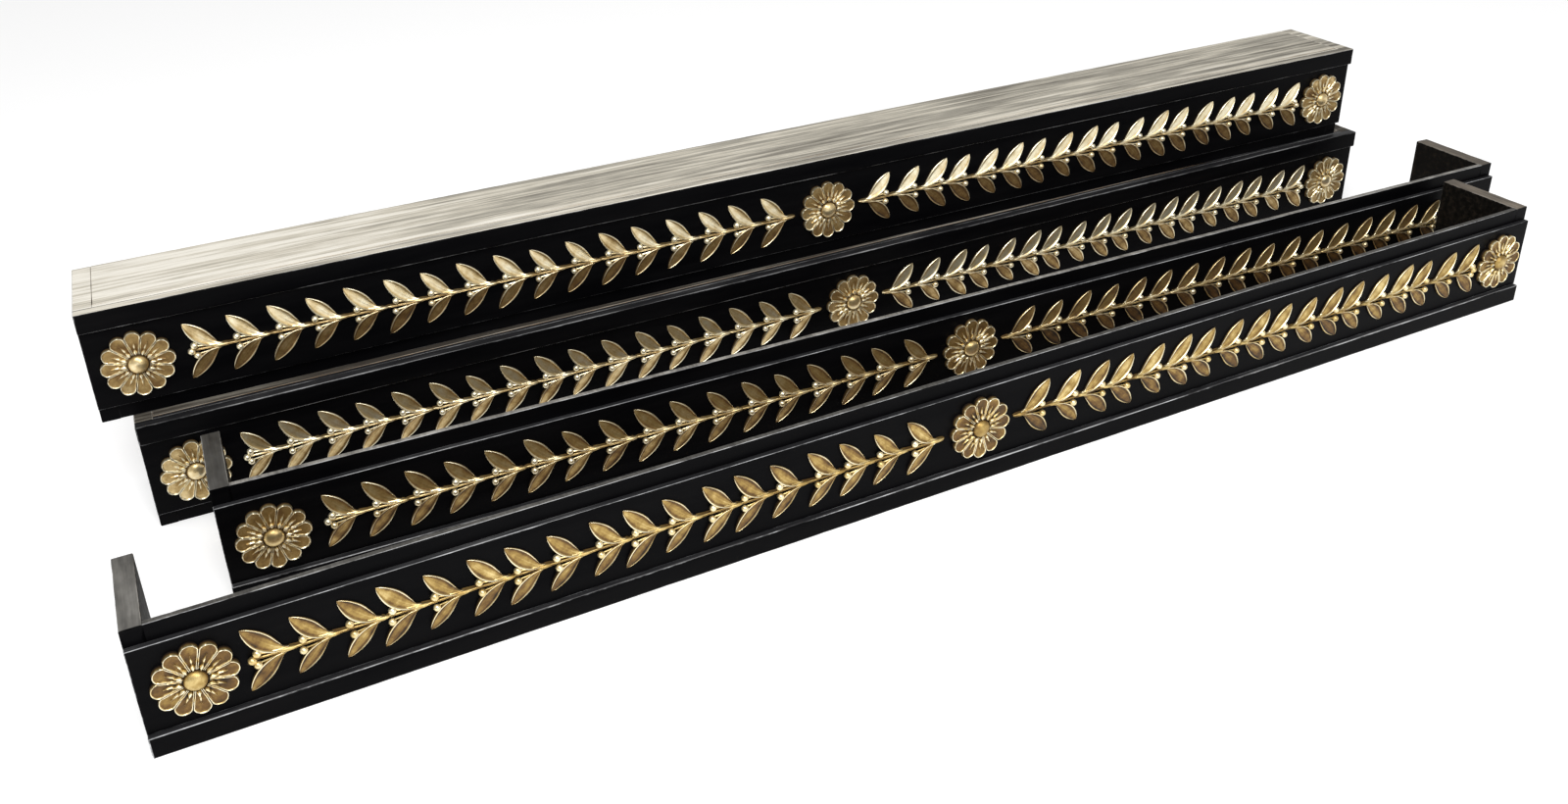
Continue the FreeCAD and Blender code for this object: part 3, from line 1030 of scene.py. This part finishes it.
# Softboxes by name: place, aim and width in metres, and power in watts.
softboxes = {
    "key_softbox": ((-1.0, -1.6, 2.4), (-0.1, 0.0, 0.1), 1.2, 48.0),
    "front_softbox": ((0.3, -3.0, 1.8), (0.0, 0.0, 0.1), 1.4, 40.0),
}


def add_camera():
    """The photograph's point of view, above and to the left of the set's front."""
    azimuth, elevation, roll = camera_azimuth, camera_elevation, camera_roll
    ahead = Vector((
        math.sin(-azimuth) * math.cos(elevation),
        math.cos(azimuth) * math.cos(elevation),
        math.sin(elevation),
    ))
    level_right = ahead.cross(Vector((0, 0, 1))).normalized()
    level_up = level_right.cross(ahead)
    right = math.cos(roll) * level_right + math.sin(roll) * level_up
    up = -math.sin(roll) * level_right + math.cos(roll) * level_up
    data = bpy.data.cameras.new("camera")
    data.sensor_width = camera_sensor
    data.lens = camera_lens
    data.shift_x, data.shift_y = camera_shift
    data.clip_start, data.clip_end = 0.05, 100.0
    camera = bpy.data.objects.new("camera", data)
    axes = Matrix((right, up, -ahead)).transposed().to_4x4()
    camera.matrix_world = Matrix.Translation(Vector(camera_place)) @ axes
    bpy.context.scene.collection.objects.link(camera)
    bpy.context.scene.camera = camera


def add_softbox(name, place, aim, size, power):
    """A square area light at a place, turned to its aim."""
    data = bpy.data.lights.new(name, "AREA")
    data.size = size
    data.energy = power
    lamp = bpy.data.objects.new(name, data)
    lamp.location = Vector(place)
    lamp.rotation_mode = "QUATERNION"
    lamp.rotation_quaternion = (Vector(aim) - Vector(place)).to_track_quat("-Z", "Y")
    bpy.context.scene.collection.objects.link(lamp)


def add_floor():
    """A plain pale floor."""
    corners = [
        (floor_reach * x, floor_reach * y, 0) for x, y in ((-1, -1), (1, -1), (1, 1), (-1, 1))
    ]
    mesh = bpy.data.meshes.new("floor_mesh")
    mesh.from_pydata(corners, [], [(0, 1, 2, 3)])
    floor = bpy.data.objects.new("floor", mesh)
    bpy.context.scene.collection.objects.link(floor)
    paint = Paint("floor_paint")
    cloudy = paint.node("ShaderNodeTexNoise")
    cloudy.inputs["Scale"].default_value = 3.0
    colour = paint.colours(cloudy.outputs["Fac"], [
        (0.3, (0.88, 0.88, 0.88)),
        (0.7, (0.90, 0.90, 0.90)),
    ])
    paint.shader.inputs["Emission Color"].default_value = (1.0, 1.0, 1.0, 1.0)
    paint.shader.inputs["Emission Strength"].default_value = floor_glow
    mesh.materials.append(paint.finish(colour, 0.9, specular=0.1))
    floor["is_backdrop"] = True


def add_studio():
    """White surroundings and two softboxes, one high at the left and one in front."""
    world = bpy.data.worlds.new("studio")
    bpy.context.scene.world = world
    world.use_nodes = True
    background = world.node_tree.nodes["Background"]
    background.inputs["Color"].default_value = (1.0, 1.0, 1.0, 1.0)
    background.inputs["Strength"].default_value = world_strength
    for name, (place, aim, size, power) in softboxes.items():
        add_softbox(name, place, aim, size, power)
    bpy.context.scene.view_settings.view_transform = "Standard"


paints = all_paints()
for seed, name in enumerate(("upper", "rear", "middle", "front"), start=1):
    cornice = Cornice(name, seed)
    add_boards(cornice, paints[name])
    add_mounts(cornice, paints[name])
    finish_hidden_nodes(cornice, paints[name])
add_floor()
add_studio()
add_camera()

visual_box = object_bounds()
boxes = {"cad": cad_box, "visual": visual_box}
{name: [list(corner) for corner in box] for name, box in boxes.items()}
